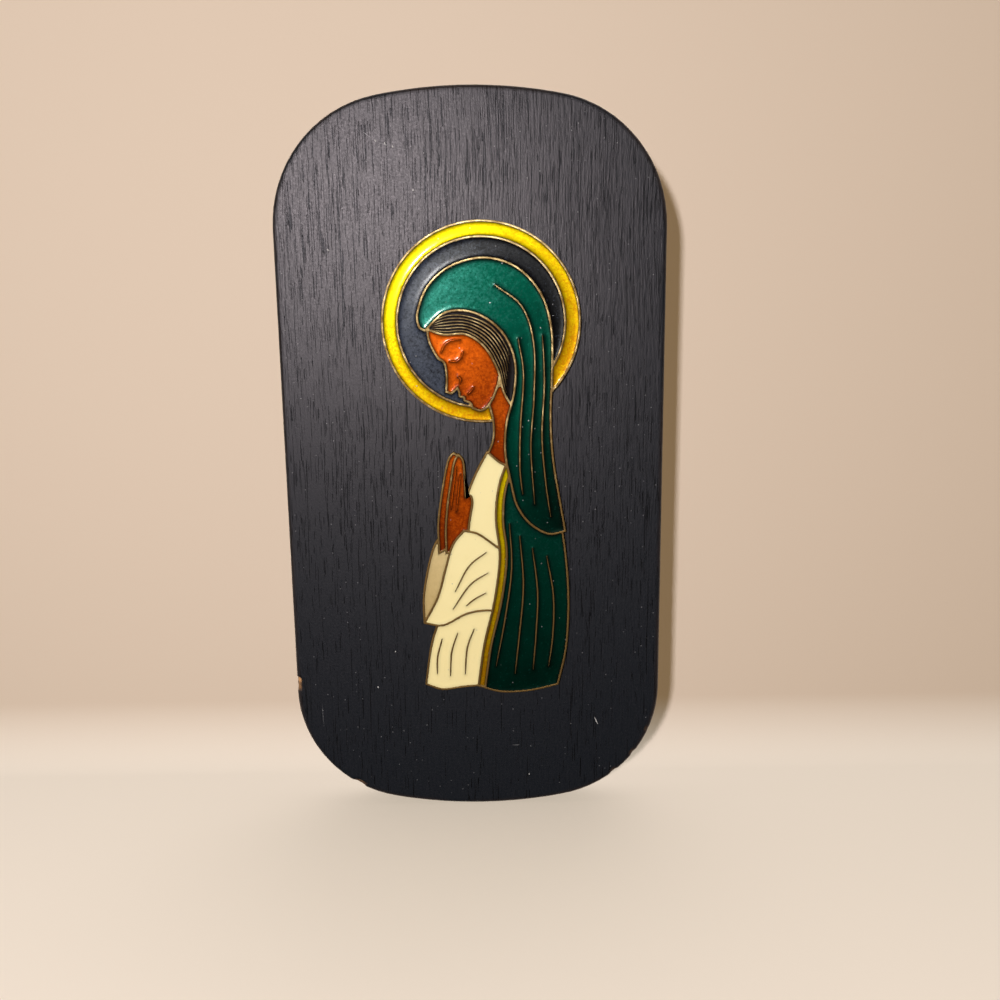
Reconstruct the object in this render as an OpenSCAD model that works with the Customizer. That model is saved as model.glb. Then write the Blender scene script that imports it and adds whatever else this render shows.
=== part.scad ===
// Devotional wall plaque: an ebonised wooden board that carries a struck brass plate
// filled with enamel, and a ring hanger let into the back of the board.
// Millimetres. Origin at the centre of the back face, +Y into the wall, +Z up, front towards -Y.

/* [Board] */
// Width of the wooden board
board_w = 89; // [75:1:120]
// Height of the wooden board at the middle of its bowed ends
board_h = 171; // [150:1:230]
// Thickness of the wooden board
board_t = 10; // [9:0.5:18]
// Radius of the four corners
corner_r = 29; // [16:1:36]
// Radius of the bowed top and bottom edges
end_r = 112; // [90:1:300]
// Width of the eased edge round the front and back faces
arris = 0.5; // [0.2:0.1:2]

/* [Brass plate] */
// Height of the figure, from the hem to the middle of the halo
figure_h = 89; // [75:1:104]
// Outer diameter of the halo; the head follows it
halo_d = 45.6; // [40:0.2:54]
// Width of the halo's yellow band, with its two brass lines
halo_band = 3.9; // [2.5:0.1:6]
// Width of the cloak's yellow border, between the middles of its two brass lines
border_w = 1.7; // [1.4:0.1:3]
// Thickness of the brass under the enamel
plate_t = 0.6; // [0.4:0.1:1.5]
// Depth of the cells that hold the enamel
cell_depth = 0.8; // [0.5:0.1:1.5]
// Width of the brass lines between the cells
line_w = 0.5; // [0.4:0.05:0.8]
// Radius in the corners of the cells
cell_corner = 0.2; // [0.1:0.05:0.35]
// Diameter of the studs behind the plate
stud_d = 2.5; // [1.5:0.1:4]
// Length of the studs
stud_len = 4; // [2:0.5:5]
// Room left under the studs in their holes
stud_room = 0.5; // [0.2:0.1:1]

/* [Enamel] */
// Width of the fine brass fold lines laid in the enamel
fold_w = 0.36; // [0.3:0.02:0.6]
// Width of the fine brass lines between the locks of hair
hair_w = 0.26; // [0.2:0.02:0.36]
// How far the enamel lies below the tops of the brass lines
enamel_sink = 0.1; // [0.04:0.02:0.3]
// Clearance between the enamel and the brass round it
enamel_gap = 0.02; // [0.01:0.01:0.05]
// Width of the fine lines of the face
face_line_w = 0.3; // [0.26:0.02:0.5]

/* [Hanger] */
// Distance of the ring's hinge line below the top of the board
hinge_drop = 27; // [22:1:40]
// Thickness of the ring's wire
wire_d = 1.6; // [1.2:0.1:2.2]
// Width of the ring between the middles of its legs
ring_w = 12; // [10:0.5:16]
// Length of the ring's straight legs
ring_leg = 2; // [1:0.5:5]
// Radius of the two bends beside the ring's bar
ring_bend = 1.6; // [1.3:0.1:2.4]
// Running clearance of the ring's bar in the strap
bar_gap = 0.05; // [0.02:0.01:0.1]
// Clearance between the resting ring and the strap below it
rest_gap = 0.2; // [0.1:0.05:0.6]
// Thickness of the strap's sheet brass
sheet_t = 0.6; // [0.4:0.1:1]
// Radius of the rubbed-down edges of the sheet brass
sheet_edge = 0.1; // [0.05:0.05:0.2]
// Clearance on each side of the strap, between the ring's bends
strap_gap = 0.2; // [0.1:0.1:1]
// Length of strap beyond the heads of the pins
strap_end = 1.5; // [0.8:0.1:4]
// Diameter of the escutcheon pins
pin_d = 1.4; // [1:0.1:1.8]
// Diameter of the pins' domed heads
pin_head_d = 3; // [2.2:0.1:3.6]
// Height of the pins' domed heads
pin_head_h = 0.9; // [0.5:0.1:1.3]
// Spacing of the two pins
pin_spacing = 4.4; // [3.8:0.1:5]
// Depth of the pins in the wood
pin_bite = 4; // [2:0.5:4.4]
// Clearance between the ring and the heads of the pins
pin_gap = 0.6; // [0.3:0.1:2]
// Room round the hanger in its recess
recess_room = 4.5; // [2:0.5:7]
// Depth of the folded strap below the back face
recess_cover = 1.6; // [1.4:0.1:3]

/* [Hidden] */
$fn = 48;
// Sides of the halo's circles and of the small round corners of the cells
halo_fn = 144;
corner_fn = 20;
// Steps round a corner of the board and along a bowed end
corner_steps = 16;
end_steps = 20;
// Steps between two control points of a drawn curve
curve_steps = 5;
// How far a cut runs past the face that it opens
over = 1;

// Outline of the board: straight sides, bowed ends and corners tangent to both
half_w = board_w / 2;
half_h = board_h / 2;
end_y = half_h - end_r;
corner_x = half_w - corner_r;
corner_y = end_y + sqrt(pow(end_r - corner_r, 2) - pow(corner_x, 2));
corner_a = atan2(corner_y - end_y, corner_x);

// Scale of the figure: its points below are drawn for this height
drawn_h = 89;
figure_scale = figure_h / drawn_h;
// Room inside the halo's band, as set and as drawn, and the middles of its two brass lines
halo_inside = halo_d / 2 - halo_band;
drawn_inside = 18.9;
halo_r = (halo_d - line_w) / 2;
field_r = halo_inside + line_w / 2;
halo_at = [2.2, 33.9];
// The head fills the halo: outlines near the halo's middle follow its size, and far ones do not
head_fill = halo_inside / (figure_scale * drawn_inside);
follow_near = 24;
follow_far = 48;
// Place, size and bowed angle of the head on the figure
head_at = [1.8, 29.8];
head_scale = 1.08;
head_angle = 34;

// Hanger: the ring turns in the folded top of a strap that lies on the recess floor
wire_r = wire_d / 2;
bore_r = wire_r + bar_gap;
barrel_r = bore_r + sheet_t;
leaf_t = 2 * sheet_t;
ring_reach = ring_bend + ring_leg + ring_w / 2;
rest_angle = asin((leaf_t + wire_r + rest_gap - barrel_r) / ring_reach);
bar_len = ring_w - 2 * ring_bend;
strap_w = bar_len - 2 * strap_gap;
pin_drop = ring_reach + wire_r + pin_gap + pin_head_d / 2;
strap_len = pin_drop + pin_head_d / 2 + strap_end;
ring_top = ring_reach + wire_r;
recess_depth = 2 * barrel_r + recess_cover;
recess_r = norm([ring_w / 2 + wire_r, (ring_top + strap_len) / 2]) + recess_room;
hinge_z = half_h - hinge_drop;
hinge_y = barrel_r - recess_depth;
recess_z = hinge_z + (ring_top - strap_len) / 2;

// Points on the figure that carry a stud behind them
stud_points = [[9, 20], [10, -40], [-5, -45]];

// The figure's outlines, in millimetres from the centre of the board, in runs between corners
veil_crown = [[-10.7, 32.3], [-12, 33.4], [-12.2, 36.6], [-9.8, 42.2], [-4.6, 46.6], [3, 48.4],
              [10.4, 46.2], [15.8, 40.4], [18.2, 32.6], [18.4, 23], [18, 12], [18.6, 2], [20.2, -8],
              [21.4, -15]];
veil_hem = [[21.4, -15], [17.4, -15.6], [13, -13], [10, -8.6], [8.6, -3]];
veil_front = [[8.6, -3], [7.4, 4], [7.8, 11], [9.6, 18], [9.8, 25.4], [6.8, 32], [0.8, 36.2],
              [-5.8, 36.4], [-10.7, 32.3]];
cloak_front = [[8.4, 3.4], [5.8, -4], [5, -12], [5.8, -21], [4.4, -32], [1.8, -43], [0.2, -53.6]];
cloak_hem = [[0.2, -53.6], [6, -55.2], [13, -54.9], [19.6, -53.4]];
cloak_back = [[19.6, -53.4], [21.6, -44], [22.2, -32], [21.4, -20], [19.6, -9], [17, 2], [8.4, 3.4]];
hair_rim = [[-10.8, 32.9], [-6, 38], [4, 37], [11, 28], [11.4, 18], [9.4, 14.2]];
hair_line = [[9.4, 14.2], [7.2, 18.2], [6, 23], [3.2, 28.2], [-1.2, 31.4], [-6.4, 31.4], [-10.8, 32.9]];
neck_front = [[3, 18], [4.6, 12], [4.6, 7], [2.8, 2.6]];
neck_back = [[2.8, 2.6], [7, -1], [11, 2], [11, 20], [3, 18]];
chest_front = [[3.2, 4.2], [0.6, -0.6], [-1.6, -6], [-3, -13], [-3.4, -22]];
neckline = [[9.4, 0.4], [6.2, 1.6], [3.2, 4.2]];
skirt_front = [[-3.4, -22], [-7.4, -33], [-10.8, -42], [-12.6, -53]];
skirt_hem = [[-12.6, -53], [-8.6, -54.4], [-3.6, -53.8], [2, -53.4]];
gown_back = [[2, -53.4], [8, -40], [9.4, 0.4]];
sleeve_top = [[7.4, -20.4], [4, -17.8], [0.6, -15.4], [-2.6, -14.6]];
sleeve_mouth = [[-2.6, -14.6], [-5.4, -18.2], [-7.2, -24], [-9.2, -31], [-12.6, -37.4]];
sleeve_under = [[-12.6, -37.4], [-8, -38], [-2.4, -35.2], [2.6, -34.4], [7.4, -35]];
lining_mouth = [[-2.6, -14.6], [-6.4, -14.8], [-9.4, -17.6], [-11.4, -24], [-12.6, -31], [-12.6, -37.4]];
lining_back = [[-12.6, -37.4], [-6.6, -28], [-2.6, -14.6]];
near_hand_back = [[-6.9, -20], [-6.9, -14], [-6.3, -8], [-5.4, -2.4], [-4.6, 1.8], [-3.6, 3.6]];
near_hand_palm = [[-3.6, 3.6], [-2.5, 2], [-2.2, -2.6], [-2.1, -6.4]];
near_thumb = [[-2.1, -6.4], [-0.9, -6.2], [-0.5, -8], [-1.2, -12], [-1.8, -16], [-3, -20]];
far_hand_back = [[-8.6, -20], [-8.7, -13.6], [-8, -7.6], [-7, -2], [-6, 2.2], [-4.8, 4]];
far_hand_palm = [[-4.8, 4], [-3.6, 2.6], [-3, -4], [-3, -20]];

// The head in profile, upright, from the middle of the head: thirds from hairline to chin
forehead = [[-6, 10.4], [-8.6, 6.6], [-9.3, 2.4], [-8.8, 0.4], [-10.2, -2.4], [-12, -4.7]];
nose_base = [[-12, -4.7], [-11.2, -5.6], [-9.5, -5.4]];
lips = [[-9.5, -5.4], [-9.8, -6.5], [-10.2, -7.2], [-9.5, -7.8], [-9.8, -8.5], [-9.1, -9.6], [-9.3, -10.8]];
jaw = [[-9.3, -10.8], [-8, -12.3], [-5.6, -12], [-2.4, -10], [0.4, -7], [1.4, -3], [1.6, 2]];
skull = [[1.6, 2], [1, 9], [-6, 10.4]];
head_outline = concat(run(forehead), run(nose_base), run(lips), run(jaw), run(skull));
brow_line = [[-8.1, 2.7], [-6.4, 3.6], [-4.8, 3.5], [-3.2, 2.6]];
lid_line = [[-7.7, 0.2], [-6.6, -0.6], [-5.4, -0.6], [-4.1, 0.2]];
mouth_line = [[-8.4, -7.7], [-7.5, -7.6], [-6.6, -7.2]];
nostril_line = [[-8.6, -4.9], [-7.9, -4.3], [-8, -3.4]];

// Fold lines laid in the enamel
veil_folds = [[[5.4, 42.4], [11.6, 37.4], [14.2, 29], [14.2, 17], [13.4, 5], [14.2, -8.4]],
              [[10.6, 30.4], [11.8, 22], [11, 10], [10.8, 0], [11.4, -6]],
              [[16.2, 31], [16.6, 20], [16, 8], [16.8, -3], [18, -11.6]]];
cloak_folds = [[[8.2, -13], [8.6, -24], [7, -36], [4.6, -48.6]],
               [[10.6, -16], [11.4, -28], [10.4, -40], [9.2, -50.6]],
               [[13.6, -19], [14.8, -30], [14.4, -40], [13.6, -49.6]],
               [[17, -21], [18.6, -31], [18.4, -41], [17.4, -48.8]]];
skirt_folds = [[[-0.6, -39], [-2.4, -44], [-3, -50.6]],
               [[-4.6, -40], [-6.2, -45], [-6.6, -51]],
               [[-8.4, -41.4], [-9.6, -46], [-9.8, -50.4]]];
sleeve_folds = [[[2.6, -20], [-1.6, -23.4], [-5, -29.6]],
                [[3, -25], [-1.4, -28], [-5.6, -34]],
                [[2.4, -30], [-0.4, -31.6], [-2.4, -33.2]]];
finger_folds = [[[-5.6, -9.4], [-4.9, -4.2], [-4.1, 0.8]],
                [[-4.3, -10], [-3.7, -5], [-3.2, -0.8]]];
// Each hair line's share of the way from the hairline to the veil, and the steps it stops short of the neck
hair_places = [[0.15, 4], [0.3, 5], [0.45, 6], [0.6, 7], [0.75, 8], [0.9, 9]];
// Steps by which the hair lines stop short of the brow
brow_stop = 2;
// Width of a fold line at its two ends, as a share of its full width
fold_end = 0.45;

// Layers of the figure, the nearest first: each hides what lies under it
LAYERS = ["veil", "border", "cloak", "sleeve", "near_hand", "far_hand", "lining",
          "hair", "face", "gown", "neck", "field", "halo"];

// Curves

function blend(a, b, c, d, t) =
    0.5 * (2 * b + (c - a) * t + (2 * a - 5 * b + 4 * c - d) * t * t + (3 * b - a - 3 * c + d) * t * t * t);

function before(p, i) = i == 0 ? 2 * p[0] - p[1] : p[i - 1];

function after(p, i) = i == len(p) - 2 ? 2 * p[i + 1] - p[i] : p[i + 2];

// A smooth run through the points, without its last point
function run(p) = [for (i = [0:len(p) - 2], k = [0:curve_steps - 1])
    blend(before(p, i), p[i], p[i + 1], after(p, i), k / curve_steps)];

function whole_run(p) = concat(run(p), [p[len(p) - 1]]);

// Points along an arc, without its last point
function arc(centre, r, from, to, steps) = [for (i = [0:steps - 1])
    let (a = from + (to - from) * i / steps) centre + r * [cos(a), sin(a)]];

function turned(p, a) = [p[0] * cos(a) - p[1] * sin(a), p[0] * sin(a) + p[1] * cos(a)];

// Points of the head, bowed and set on the figure
function on_head(p) = [for (q = p) head_at + head_scale * turned(q, head_angle)];

// How far a point is past the halo's near ground, from 0 to 1
function past(q) = min(max((norm(q - halo_at) - follow_near) / (follow_far - follow_near), 0), 1);

function follow(q) = let (t = past(q)) 1 - t * t * (3 - 2 * t);

// A drawn point, set on the plate
function placed(q) = figure_scale * (q + (head_fill - 1) * follow(q) * (q - halo_at));

function scaled(p) = [for (q = p) placed(q)];

function heading(p, i) = p[min(i + 1, len(p) - 1)] - p[max(i - 1, 0)];

function left_of(p, i) = [-heading(p, i)[1], heading(p, i)[0]] / norm(heading(p, i));

function line_half(i, n, w) = w / 2 * (fold_end + (1 - fold_end) * pow(sin(180 * i / n), 0.4));

// Outline of a line of the given width, drawn out to fine ends
function stroke(p, w) = concat(
    [for (i = [0:len(p) - 1]) p[i] + left_of(p, i) * line_half(i, len(p) - 1, w)],
    [for (i = [len(p) - 1:-1:0]) p[i] - left_of(p, i) * line_half(i, len(p) - 1, w)]);

// Outline of an even band on the left of a run
function band(p, w) = concat(p, [for (i = [len(p) - 1:-1:0]) p[i] + left_of(p, i) * w]);

function between(p, q, share) = [for (i = [0:len(p) - 1]) p[i] * (1 - share) + q[i] * share];

// A run of points without some of its first and last ones
function cut_short(p, first, last) = [for (i = [first:len(p) - 1 - last]) p[i]];

// The hair's upper lie, beside the veil, from the neck to the brow, in as many points as the hairline
hair_edge = [[9.2, 17.4], [9.4, 22.4], [8.5, 28.2], [4.8, 33.4], [-0.8, 35.9], [-6.2, 35.9], [-10.8, 32.9]];
hair_lay = [for (place = hair_places)
    cut_short(whole_run(between(hair_line, hair_edge, place[0])), place[1], brow_stop)];

// Shapes of the figure

module layer(name) {
    if (name == "veil") polygon(scaled(concat(run(veil_crown), run(veil_hem), run(veil_front))));
    if (name == "border") polygon(band(scaled(whole_run(cloak_front)), border_w));
    if (name == "cloak") polygon(scaled(concat(run(cloak_front), run(cloak_hem), run(cloak_back))));
    if (name == "sleeve") polygon(scaled(concat(run(sleeve_top), run(sleeve_mouth), run(sleeve_under))));
    if (name == "near_hand")
        polygon(scaled(concat(run(near_hand_back), run(near_hand_palm), run(near_thumb))));
    if (name == "far_hand") polygon(scaled(concat(run(far_hand_back), run(far_hand_palm))));
    if (name == "lining") polygon(scaled(concat(run(lining_mouth), run(lining_back))));
    if (name == "hair") polygon(scaled(concat(run(hair_rim), run(hair_line))));
    if (name == "face") polygon(scaled(on_head(head_outline)));
    if (name == "gown") polygon(scaled(concat(run(neckline), run(chest_front), run(skirt_front),
                                              run(skirt_hem), run(gown_back))));
    if (name == "neck") polygon(scaled(concat(run(neck_front), run(neck_back))));
    if (name == "field") translate(placed(halo_at)) circle(field_r, $fn = halo_fn);
    if (name == "halo") translate(placed(halo_at)) circle(halo_r, $fn = halo_fn);
}

// The part of a layer that nothing nearer hides
module shown(name) {
    place = search([name], LAYERS)[0];
    difference() {
        layer(name);
        for (i = [0:1:place - 1]) layer(LAYERS[i]);
    }
}

// The cell in the brass plate for one layer
module cell(name) {
    offset(r = cell_corner, $fn = corner_fn) offset(delta = -line_w / 2 - cell_corner) shown(name);
}

module outline() {
    offset(r = line_w / 2, $fn = corner_fn) for (name = LAYERS) layer(name);
}

module fold_shapes(lines) {
    for (p = lines) polygon(stroke(scaled(whole_run(p)), fold_w));
}

module hair_shapes() {
    for (p = hair_lay) polygon(stroke(scaled(p), hair_w));
}

module head_line_shapes() {
    for (p = [brow_line, lid_line, mouth_line, nostril_line])
        polygon(stroke(scaled(on_head(whole_run(p))), face_line_w));
}

// Stands a flat drawing upright with its back on the board, the height given above the board
module on_front(from) {
    translate([0, -board_t - from, 0]) rotate([90, 0, 0]) children();
}

// Enamel in one cell, round the fold lines given as children
module enamel(name) {
    on_front(plate_t)
        linear_extrude(cell_depth - enamel_sink)
            offset(delta = -enamel_gap)
                difference() {
                    cell(name);
                    children();
                }
}

// Fold lines that stand on the plate inside one cell
module lines_in(name) {
    on_front(plate_t)
        linear_extrude(cell_depth)
            offset(delta = -enamel_gap)
                intersection() {
                    cell(name);
                    children();
                }
}

// Pieces

upper_edge = concat(
    arc([corner_x, corner_y], corner_r, 0, corner_a, corner_steps),
    arc([0, end_y], end_r, corner_a, 180 - corner_a, end_steps),
    arc([-corner_x, corner_y], corner_r, 180 - corner_a, 180, corner_steps),
    [[-half_w, corner_y]]);

module board_outline() {
    polygon(concat(upper_edge, -upper_edge));
}

module board() {
    color("#2f2d30")
        difference() {
            rotate([90, 0, 0])
                hull() {
                    translate([0, 0, arris]) linear_extrude(board_t - 2 * arris) board_outline();
                    linear_extrude(board_t) offset(delta = -arris) board_outline();
                }
            translate([0, -recess_depth, recess_z])
                rotate([-90, 0, 0]) cylinder(h = recess_depth + over, r = recess_r);
            at_pins() cylinder(h = pin_bite, d = pin_d);
            at_studs() cylinder(h = stud_len + stud_room, d = stud_d);
        }
}

// The pins' places on the recess floor, looking into the wood
module at_pins() {
    for (side = [-1, 1])
        translate([side * pin_spacing / 2, -recess_depth, hinge_z - pin_drop])
            rotate([90, 0, 0]) children();
}

// The studs' places on the front of the board, looking into the wood
module at_studs() {
    for (p = scaled(stud_points))
        translate([p[0], -board_t, p[1]]) rotate([-90, 0, 0]) children();
}

module struck_plate() {
    color("#c9a65a")
        difference() {
            on_front(0) linear_extrude(plate_t + cell_depth) outline();
            for (name = LAYERS)
                on_front(plate_t) linear_extrude(cell_depth + over) cell(name);
        }
}

module plate_studs() {
    color("#b08d4a") at_studs() cylinder(h = stud_len, d = stud_d);
}

module halo_enamel() {
    color("#e0b31c") enamel("halo");
}

module halo_field_enamel() {
    color("#2b303b") enamel("field");
}

module veil_enamel() {
    color("#0c6450") enamel("veil") fold_shapes(veil_folds);
}

module cloak_enamel() {
    color("#084a36") enamel("cloak") fold_shapes(cloak_folds);
}

module cloak_border_enamel() {
    color("#d8ab1e") enamel("border");
}

module hair_enamel() {
    color("#2a1d18") enamel("hair") hair_shapes();
}

module face_enamel() {
    color("#b4541f") enamel("face") head_line_shapes();
}

module neck_enamel() {
    color("#a94d1d") enamel("neck");
}

module near_hand_enamel() {
    color("#a94d1d") enamel("near_hand") fold_shapes(finger_folds);
}

module far_hand_enamel() {
    color("#8f4119") enamel("far_hand");
}

module sleeve_enamel() {
    color("#f6e2ae") enamel("sleeve") fold_shapes(sleeve_folds);
}

module sleeve_lining_enamel() {
    color("#d9bf86") enamel("lining");
}

module gown_enamel() {
    color("#f3dda6") enamel("gown") fold_shapes(skirt_folds);
}

module veil_fold_lines() {
    color("#c9a65a") lines_in("veil") fold_shapes(veil_folds);
}

module cloak_fold_lines() {
    color("#c9a65a") lines_in("cloak") fold_shapes(cloak_folds);
}

module gown_fold_lines() {
    color("#c9a65a") lines_in("gown") fold_shapes(skirt_folds);
}

module sleeve_fold_lines() {
    color("#c9a65a") lines_in("sleeve") fold_shapes(sleeve_folds);
}

module hair_lines() {
    color("#c9a65a") lines_in("hair") hair_shapes();
}

module face_lines() {
    color("#c9a65a") lines_in("face") head_line_shapes();
}

module finger_lines() {
    color("#c9a65a") lines_in("near_hand") fold_shapes(finger_folds);
}

// Side view of the strap: the sheet folded round the bar, its two leaves flat on the wood
module strap_profile() {
    neck = 2 * barrel_r;
    circle(barrel_r);
    polygon([[-barrel_r, 0], [0, barrel_r], [barrel_r, 0], [leaf_t - barrel_r, -neck],
             [leaf_t - barrel_r, -strap_len], [-barrel_r, -strap_len]]);
}

module hanger_strap() {
    color("#b8923f")
        difference() {
            translate([strap_w / 2, hinge_y, hinge_z])
                rotate([0, -90, 0]) rotate([0, 0, 90]) mirror([0, 1, 0])
                    linear_extrude(strap_w)
                        offset(r = sheet_edge, $fn = corner_fn) offset(delta = -sheet_edge) strap_profile();
            translate([-strap_w, hinge_y, hinge_z])
                rotate([0, 90, 0]) cylinder(h = 2 * strap_w, r = bore_r);
            translate([0, leaf_t, 0]) at_pins() cylinder(h = leaf_t, d = pin_d);
        }
}

module hanger_ring() {
    bow_drop = ring_bend + ring_leg;
    color("#c4a04c")
        translate([0, hinge_y, hinge_z])
            rotate([90 + rest_angle, 0, 0]) {
                translate([-bar_len / 2, 0, 0]) rotate([0, 90, 0]) cylinder(h = bar_len, d = wire_d);
                for (side = [0, 1])
                    mirror([side, 0, 0]) {
                        translate([bar_len / 2, -ring_bend, 0])
                            rotate_extrude(angle = 90) translate([ring_bend, 0]) circle(d = wire_d);
                        translate([ring_w / 2, -bow_drop, 0])
                            rotate([-90, 0, 0]) cylinder(h = ring_leg, d = wire_d);
                    }
                translate([0, -bow_drop, 0])
                    rotate([0, 0, 180])
                        rotate_extrude(angle = 180) translate([ring_w / 2, 0]) circle(d = wire_d);
            }
}

// A domed pin: head on the strap, shank through both leaves into the wood
module hanger_pins() {
    dome_r = (pow(pin_head_d / 2, 2) + pow(pin_head_h, 2)) / (2 * pin_head_h);
    color("#c4a04c")
        translate([0, leaf_t, 0])
            at_pins() {
                cylinder(h = leaf_t + pin_bite, d = pin_d);
                rotate_extrude()
                    intersection() {
                        translate([0, dome_r - pin_head_h]) circle(dome_r);
                        translate([0, -pin_head_h]) square([pin_head_d / 2, pin_head_h]);
                    }
            }
}

board();
struck_plate();
plate_studs();
halo_enamel();
halo_field_enamel();
veil_enamel();
cloak_enamel();
cloak_border_enamel();
hair_enamel();
face_enamel();
neck_enamel();
near_hand_enamel();
far_hand_enamel();
sleeve_enamel();
sleeve_lining_enamel();
gown_enamel();
veil_fold_lines();
cloak_fold_lines();
gown_fold_lines();
sleeve_fold_lines();
hair_lines();
face_lines();
finger_lines();
hanger_strap();
hanger_ring();
hanger_pins();
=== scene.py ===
import math
from collections import Counter

import bpy
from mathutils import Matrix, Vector, noise
from mathutils.kdtree import KDTree


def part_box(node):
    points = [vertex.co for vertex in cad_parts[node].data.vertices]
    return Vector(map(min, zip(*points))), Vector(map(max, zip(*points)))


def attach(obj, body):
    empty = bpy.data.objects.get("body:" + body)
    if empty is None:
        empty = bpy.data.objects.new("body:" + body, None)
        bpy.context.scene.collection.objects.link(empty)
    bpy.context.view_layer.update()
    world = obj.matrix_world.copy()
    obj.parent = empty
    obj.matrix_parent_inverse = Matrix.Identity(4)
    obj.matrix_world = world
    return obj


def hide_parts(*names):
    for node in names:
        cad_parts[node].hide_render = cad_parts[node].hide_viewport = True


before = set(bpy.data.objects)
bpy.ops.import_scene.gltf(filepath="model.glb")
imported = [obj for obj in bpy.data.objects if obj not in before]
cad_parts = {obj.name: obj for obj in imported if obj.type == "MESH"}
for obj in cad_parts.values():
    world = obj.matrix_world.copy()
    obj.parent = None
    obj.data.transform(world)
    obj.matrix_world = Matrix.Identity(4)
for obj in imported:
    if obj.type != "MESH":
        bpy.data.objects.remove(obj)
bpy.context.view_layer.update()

mm = 0.001  # the frame is in metres, the pieces are thought of in millimetres
boardLow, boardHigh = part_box("board")
plateLow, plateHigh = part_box("struck_plate")
lineTop = plateLow.y  # front of the brass lines
sameLevel = 0.01 * mm  # points this close in depth lie in one plane
weldGap = 0.001 * mm  # points this close are one point
flatAngle = math.radians(0.5)  # triangles that turn less than this make one flat face
faceOn = 0.9  # a face looks forward or back where its normal points this far along the depth
sideOn = 0.5  # and sideways where it points less far than this
print("frame loaded:", len(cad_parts), "nodes")


# Mesh tools

def pickOnly(piece):
    bpy.ops.object.select_all(action="DESELECT")
    piece.select_set(True)
    bpy.context.view_layer.objects.active = piece


def copyNode(nodeName, pieceName, wholeFaces=True):
    piece = bpy.data.objects.new(pieceName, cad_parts[nodeName].data.copy())
    bpy.context.scene.collection.objects.link(piece)
    piece.data.materials.clear()
    pickOnly(piece)
    bpy.ops.mesh.customdata_custom_splitnormals_clear()
    bpy.ops.object.mode_set(mode="EDIT")
    bpy.ops.mesh.select_all(action="SELECT")
    bpy.ops.mesh.remove_doubles(threshold=weldGap)
    if wholeFaces:
        bpy.ops.mesh.dissolve_limited(angle_limit=flatAngle)  # triangles back to whole faces
    bpy.ops.object.mode_set(mode="OBJECT")
    return piece


def startPicking(piece, kind):  # object mode to edit mode, with what was picked in code
    bpy.context.tool_settings.mesh_select_mode = (False, kind == "EDGE", kind == "FACE")
    pickOnly(piece)
    bpy.ops.object.mode_set(mode="EDIT")


def clearPicks(mesh):
    for part in (mesh.vertices, mesh.edges, mesh.polygons):
        part.foreach_set("select", [False] * len(part))


def pickFaces(piece, wanted):
    clearPicks(piece.data)
    for face in piece.data.polygons:
        face.select = wanted(face)
    startPicking(piece, "FACE")


def pickEdges(piece, wanted):
    mesh = piece.data
    clearPicks(mesh)
    sides = {}
    for face in mesh.polygons:
        for key in face.edge_keys:
            sides.setdefault(key, []).append(face)
    for edge in mesh.edges:
        a, b = (mesh.vertices[i].co for i in edge.vertices)
        edge.select = wanted(a, b, sides[edge.key])
    startPicking(piece, "EDGE")


def isFront(face):
    return face.normal.y < -faceOn


def onTop(a, b, faces):  # an edge between the flat top of a line and its side
    return max(a.y, b.y) < lineTop + sameLevel and any(abs(f.normal.y) < sideOn for f in faces)


def finishPiece(piece, material, body, nodeNames, smoothAngle):
    pickOnly(piece)
    bpy.ops.object.shade_smooth_by_angle(angle=math.radians(smoothAngle))
    piece.data.materials.append(material)
    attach(piece, body)
    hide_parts(*nodeNames)
    print(piece.name, len(piece.data.polygons), "faces")


# Shader tools

def screen(red, green, blue):  # a colour as seen on a screen, 0 to 255
    def linear(c):
        return c / 12.92 if c <= 0.04045 else ((c + 0.055) / 1.055) ** 2.4
    return (linear(red / 255), linear(green / 255), linear(blue / 255), 1.0)


def addNode(tree, kind, inputs=None, **settings):
    node = tree.nodes.new(kind)
    for name, value in settings.items():
        setattr(node, name, value)
    for name, value in (inputs or {}).items():
        if isinstance(value, bpy.types.NodeSocket):
            tree.links.new(value, node.inputs[name])
        else:
            node.inputs[name].default_value = value
    return node


def maths(tree, operation, a, b=0.0, clamp=False):
    return addNode(tree, "ShaderNodeMath", {0: a, 1: b}, operation=operation, use_clamp=clamp).outputs[0]


def mixColour(tree, factor, a, b, blend="MIX"):
    mixed = addNode(tree, "ShaderNodeMix", {0: factor, 6: a, 7: b}, data_type="RGBA", blend_type=blend)
    return mixed.outputs[2]


def centred(tree, value):  # a noise value, moved to lie about zero
    return maths(tree, "SUBTRACT", value, 0.5)


def softStep(tree, value, low, high):
    span = {"Value": value, "From Min": low, "From Max": high}
    return addNode(tree, "ShaderNodeMapRange", span, interpolation_type="SMOOTHSTEP").outputs[0]


def stretched(tree, vector, x, y, z):
    return addNode(tree, "ShaderNodeMapping", {"Vector": vector, "Scale": (x, y, z)}).outputs[0]


def noiseValue(tree, vector, scale, detail=2.0, rough=0.5):
    spread = {"Vector": vector, "Scale": scale, "Detail": detail, "Roughness": rough}
    return addNode(tree, "ShaderNodeTexNoise", spread).outputs[0]


def newGroup(name, inputs, outputs):
    group = bpy.data.node_groups.new(name, "ShaderNodeTree")
    for socketName, kind in inputs:
        group.interface.new_socket(name=socketName, in_out="INPUT", socket_type="NodeSocket" + kind)
    for socketName, kind in outputs:
        group.interface.new_socket(name=socketName, in_out="OUTPUT", socket_type="NodeSocket" + kind)
    return group, group.nodes.new("NodeGroupInput").outputs, group.nodes.new("NodeGroupOutput").inputs


def useGroup(tree, group, inputs):
    return addNode(tree, "ShaderNodeGroup", inputs, node_tree=group).outputs


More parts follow.
